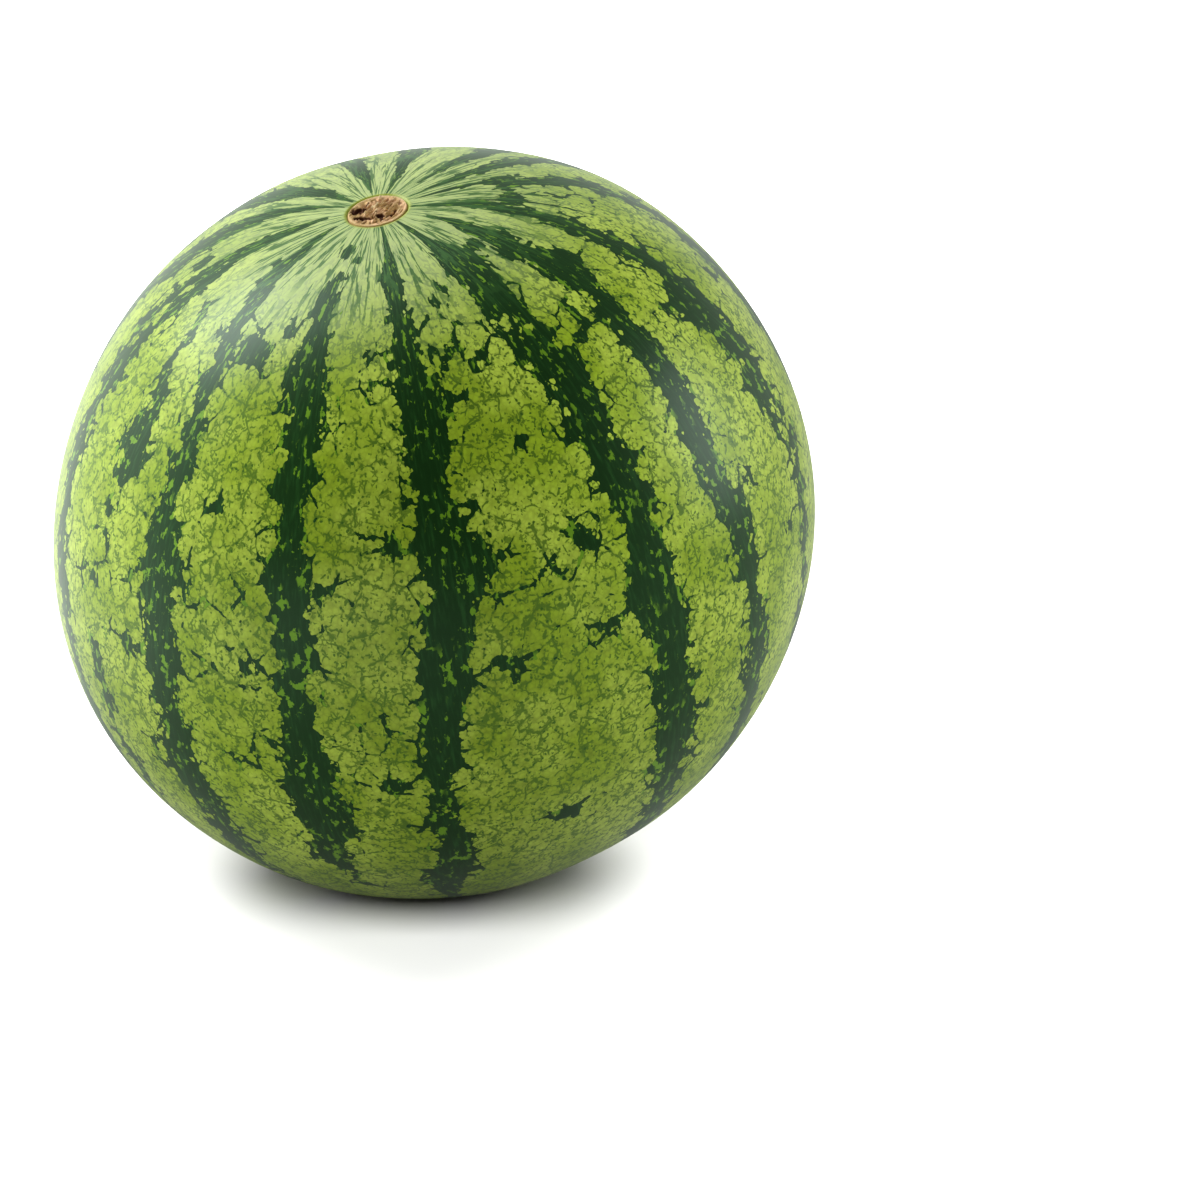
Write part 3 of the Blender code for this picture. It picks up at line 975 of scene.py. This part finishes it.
# the rust and the brown are partly the cork's own dark colour and partly painted shade in its low
# places and pits
CORK_RUST_AND_SHADE = (0.23, 0.105, 0.030, 1.0)
PIT_BROWN_AND_SHADE = (0.095, 0.034, 0.012, 1.0)

BLOTCH_SIZE, BLOTCH_CHANGE = 4.0 * MM, (0.40, 0.62)
GRIT_SIZE, GRIT_DARK, GRIT_CONTRAST = 0.7 * MM, 0.72, 0.5
CREAM_HEIGHTS = (-0.12, 0.38)        # millimetres above the skin
# painted shade, partly the cork's own colour: low places go rust and pits go brown
LOW_RUST_AND_SHADE_HEIGHTS, LOW_RUST_AND_SHADE_STRENGTH = (-0.35, -1.0), 0.9
PIT_BROWN_AND_SHADE_DEPTHS = (0.10, 1.30)          # millimetres into a pit
CORK_ROUGHNESS = 0.85
GRIT_BUMP, GRIT_BUMP_HEIGHT = 0.5, 0.2 * MM


def cork_look():
    finish = bpy.data.materials.new("corky_scar")
    finish.use_nodes = True
    tree = finish.node_tree
    shader = tree.nodes["Principled BSDF"]
    height = note_on_points(tree, "height")
    pit = note_on_points(tree, "pit")
    place = node(tree, "ShaderNodeTexCoord", {}, out="Object")
    grit = cloud(place, GRIT_SIZE, detail=3.0)
    color = blend(ease(cloud(place, BLOTCH_SIZE), *BLOTCH_CHANGE), CORK_TAN, CORK_PEACH)
    color = blend(ease(height, *CREAM_HEIGHTS), color, CORK_CREAM)
    color = color * (GRIT_DARK + GRIT_CONTRAST * grit)
    # painted shade, partly the cork's own colour: rust in the low places, brown in the pits
    color = blend(ease(height, *LOW_RUST_AND_SHADE_HEIGHTS) * LOW_RUST_AND_SHADE_STRENGTH, color, CORK_RUST_AND_SHADE)
    color = blend(ease(pit, *PIT_BROWN_AND_SHADE_DEPTHS), color, PIT_BROWN_AND_SHADE)
    tree.links.new(color.socket, shader.inputs["Base Color"])
    shader.inputs["Roughness"].default_value = CORK_ROUGHNESS
    bump = node(tree, "ShaderNodeBump", {}, Strength=GRIT_BUMP, Distance=GRIT_BUMP_HEIGHT, Height=grit)
    tree.links.new(bump.socket, shader.inputs["Normal"])
    return finish


cork_finish = cork_look()
stem_scar.data.materials.append(cork_finish)
print("cork finish done")

# %% [markdown]
# ## The blossom button
# The flower sat at the other end and left a small dry button with a pip in the middle. On this fruit it
# faces down and back, just clear of the ground. It is the same kind of closed disc, laid on the rind.

# %% Build the blossom button
BUTTON_RADIUS = 5.0
BUTTON_RINGS = 16
BUTTON_SPOKES = 64
BUTTON_HEIGHT = 0.45
BUTTON_UNDERSIDE = 1.2               # how far under the skin its hidden side lies
BUTTON_RIM, RIM_FOOT = 0.70, 0.3     # the rim falls from this share of the radius to this depth
BUTTON_FOLDS, FOLD_HEIGHT = 9, 0.06
FOLD_SWAY = (0.4, 0.4, 1.7, 2.0)     # noise layers, as on the cork
BUTTON_CRUMBS = (1.8, 1.8, 4.4, 0.08)
PIP_SHARE = 0.22                     # the pip's radius, as a share of the button's
# the pip is painted with the pits' brown, partly as painted shade
PIP_SINK, PIP_DARKNESS = 0.3, 0.8    # the pip is sunk this deep, and dark like a pit this deep


def button_height(x, y):
    """Height of the button above the skin, and how deep in its pip the point is."""
    share = math.hypot(x, y) / BUTTON_RADIUS
    turn = math.atan2(y, x)
    folds = FOLD_HEIGHT * math.sin(turn * BUTTON_FOLDS + rough(x, y, FOLD_SWAY)) * share
    pip = soft_step(share, PIP_SHARE, 0.5 * PIP_SHARE)
    rim = soft_step(share, 1.0, BUTTON_RIM)
    crown = rim * (BUTTON_HEIGHT + folds + rough(x, y, BUTTON_CRUMBS))
    return crown - (1 - rim) * RIM_FOOT - pip * PIP_SINK, pip * PIP_DARKNESS


def on_blossom_end(x, y, height):
    """A place on the fruit's blossom end, from millimetres across it and above its skin."""
    slope = math.hypot(x, y) * MM / BODY_RADIUS
    skin_here = BODY_RADIUS - BLOSSOM_END_SINK * math.exp(-(slope / END_SPREAD) ** 2)
    upright = Vector((x * MM, -y * MM, -skin_here * math.cos(slope) - height * MM))
    placed = upright_to_stem @ upright
    placed.x += placed.z * SKEW
    downward = max(-placed.z, 0.0) / placed.length
    placed *= 1 - UNDERSIDE_SAG * downward ** SAG_SHARPNESS
    return placed + fruit_middle


blossom_scar = disc("blossom_scar", BUTTON_RINGS, BUTTON_SPOKES, BUTTON_RADIUS, BUTTON_UNDERSIDE,
                    button_height, on_blossom_end)
blossom_scar.data.materials.append(cork_finish)
button_low = points_of(blossom_scar.data)[:, 2].min()
print("blossom button clears the ground by", round(float(button_low) / MM, 1), "mm")

# %% [markdown]
# ## Floor, light and camera
# Fruit like this is shown on a white sweep, lit by large soft sources. Skin with a wax bloom shows
# exactly what stands around it, so the lights matter as much as the finish: a tall panel behind on the
# left gives the broad pale sheen, one on the right a fainter upright streak, and the dark room on the
# camera's side leaves the middle of the fruit rich and deep.

# %% The pale floor
FLOOR_REACH = 6.0
FLOOR_WHITE = 0.22
FLOOR_OVEREXPOSED = 3.0      # how much brighter the camera sees the sweep, as in a bright product shot
SWEEP_GLOW = 1.0             # the far sweep has lamps of its own
SWEEP_FROM_TO = (0.35, 1.1)  # how far out the camera sees their light begin and reach its full glow
CAST_FROM_TO = (0.12, 0.35)  # the same for the light that falls back on the fruit
CAST_RIGHT_TO_LEFT = (0.1, -0.4, 0.15, 1.1)  # it is weak on the right and strong on the left


def flat_sheet(name, reach):
    corners = [(-reach, -reach, 0.0), (reach, -reach, 0.0), (reach, reach, 0.0), (-reach, reach, 0.0)]
    mesh = bpy.data.meshes.new(name)
    mesh.from_pydata(corners, [], [(0, 1, 2, 3)])
    made = bpy.data.objects.new(name, mesh)
    bpy.context.scene.collection.objects.link(made)
    return made


def sweep_look():
    finish = bpy.data.materials.new("white_sweep")
    finish.use_nodes = True
    tree = finish.node_tree
    tree.nodes.clear()
    seen = node(tree, "ShaderNodeLightPath", {}, out="Is Camera Ray")
    white = FLOOR_WHITE * (1.0 + seen * (FLOOR_OVEREXPOSED - 1.0))
    paper = node(tree, "ShaderNodeBsdfDiffuse", {}, vector_of(tree, white, white, white))
    place = node(tree, "ShaderNodeTexCoord", {}, out="Object")
    away = length_of(place)
    side, _, _ = parts_of(place)
    glow_seen = ease(away, *SWEEP_FROM_TO) * seen * SWEEP_GLOW
    glow_cast = ease(away, *CAST_FROM_TO) * (1.0 - seen) * ease(side, *CAST_RIGHT_TO_LEFT)
    lamp = node(tree, "ShaderNodeEmission", {}, (1.0, 1.0, 1.0, 1.0), glow_seen + glow_cast)
    node(tree, "ShaderNodeOutputMaterial", {}, node(tree, "ShaderNodeAddShader", {}, paper, lamp))
    return finish


floor = flat_sheet("floor", FLOOR_REACH)
floor.data.materials.append(sweep_look())
print("floor reaches", FLOOR_REACH, "m each way")

# %% [markdown]
# The photographer's panels light the fruit alone. The sweep has panels of its own, in front and on both
# sides behind, so the fruit's shadows fall three ways and wash out: only a small soft one stays under
# it. Light linking keeps each panel to what it is for.

# %% Soft lights
def lit_group(name, *pieces):
    """A group of pieces that a light is kept to."""
    group = bpy.data.collections.new(name)
    for piece in pieces:
        group.objects.link(piece)
    return group


def soft_panel(name, direction, distance, width, height, radiance, group):
    """A rectangular light that faces the fruit from a direction and lights one group of pieces."""
    data = bpy.data.lights.new(name, "AREA")
    data.shape = "RECTANGLE"
    data.size = width
    data.size_y = height
    data.energy = radiance * math.pi * width * height
    made = bpy.data.objects.new(name, data)
    way = Vector(direction).normalized()
    made.location = fruit_middle + way * distance
    made.rotation_mode = "QUATERNION"
    made.rotation_quaternion = way.to_track_quat("Z", "Y")
    made.visible_camera = False
    made.light_linking.receiver_collection = group
    bpy.context.scene.collection.objects.link(made)


on_fruit = lit_group("lit_fruit", rind, stem_scar, blossom_scar)
on_floor = lit_group("lit_floor", floor)
PANELS = (
    # name, direction, distance, width, height, radiance, what it lights
    ("key_panel", (-0.59, 0.27, 0.66), 1.5, 0.66, 0.78, 11.0, on_fruit),
    ("left_wash", (-0.86, 0.14, 0.46), 1.6, 0.70, 0.80, 2.0, on_fruit),
    ("right_strip", (0.93, 0.00, 0.30), 1.4, 0.60, 0.80, 6.5, on_fruit),
    ("top_panel", (-0.30, 0.25, 1.0), 1.7, 1.2, 0.8, 1.4, on_fruit),
    ("sweep_front", (0.0, -0.80, 0.60), 2.5, 3.2, 1.4, 8.8, on_floor),
    ("sweep_back_left", (-0.60, 0.40, 0.69), 2.2, 1.4, 1.0, 15.0, on_floor),
    ("sweep_back_right", (0.60, 0.40, 0.69), 2.2, 1.4, 1.0, 15.0, on_floor),
)
for panel in PANELS:
    soft_panel(*panel)
print(len(PANELS), "soft panels")

# %% The room: white low down behind and beside the fruit, dark on the camera's side
ROOM_DARK = 0.20
ROOM_BEHIND = (-0.50, 0.30)   # how far back a ray points where the wall begins and is full
ROOM_LOW = (0.65, 0.10)       # and how far up it may point
ROOM_LEFT_TO_RIGHT = (-0.9, 0.1, 1.7, 0.7)   # the wall's glow falls from the left to the right


def room():
    world = bpy.data.worlds.new("room")
    bpy.context.scene.world = world
    world.use_nodes = True
    tree = world.node_tree
    tree.nodes.clear()
    way = node(tree, "ShaderNodeTexCoord", {}, out="Generated")
    right, back, up = parts_of(way)
    white_wall = ease(back, *ROOM_BEHIND) * ease(up, *ROOM_LOW)
    lit = ROOM_DARK + white_wall * ease(right, *ROOM_LEFT_TO_RIGHT)
    seen = node(tree, "ShaderNodeLightPath", {}, out="Is Camera Ray")
    strength = lit + seen * (1.0 - lit)
    glow = node(tree, "ShaderNodeBackground", {}, (1.0, 1.0, 1.0, 1.0), strength)
    node(tree, "ShaderNodeOutputWorld", {}, glow)


room()
bpy.context.scene.view_settings.view_transform = "Standard"
bpy.context.scene.view_settings.look = "Medium High Contrast"
print("room lit")

# %% The camera
CAMERA_RISE = math.radians(16)
CAMERA_DISTANCE = 1.6
CAMERA_LENS = 144.6
AIM_RIGHT = 0.0550            # how far beside the fruit's middle the camera aims, and how far below
AIM_DOWN = 0.0261


def place_camera():
    data = bpy.data.cameras.new("camera")
    data.lens = CAMERA_LENS
    made = bpy.data.objects.new("camera", data)
    bpy.context.scene.collection.objects.link(made)
    back = Vector((0.0, -math.cos(CAMERA_RISE), math.sin(CAMERA_RISE)))
    up = Vector((0.0, math.sin(CAMERA_RISE), math.cos(CAMERA_RISE)))
    made.location = fruit_middle + back * CAMERA_DISTANCE
    aim = fruit_middle + Vector((AIM_RIGHT, 0.0, 0.0)) - up * AIM_DOWN
    made.rotation_euler = (aim - made.location).to_track_quat("-Z", "Y").to_euler()
    bpy.context.scene.camera = made


place_camera()
print("camera", CAMERA_DISTANCE, "m away")

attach(rind, "root")
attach(stem_scar, "root")
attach(blossom_scar, "root")
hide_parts("watermelon")
bpy.context.view_layer.update()
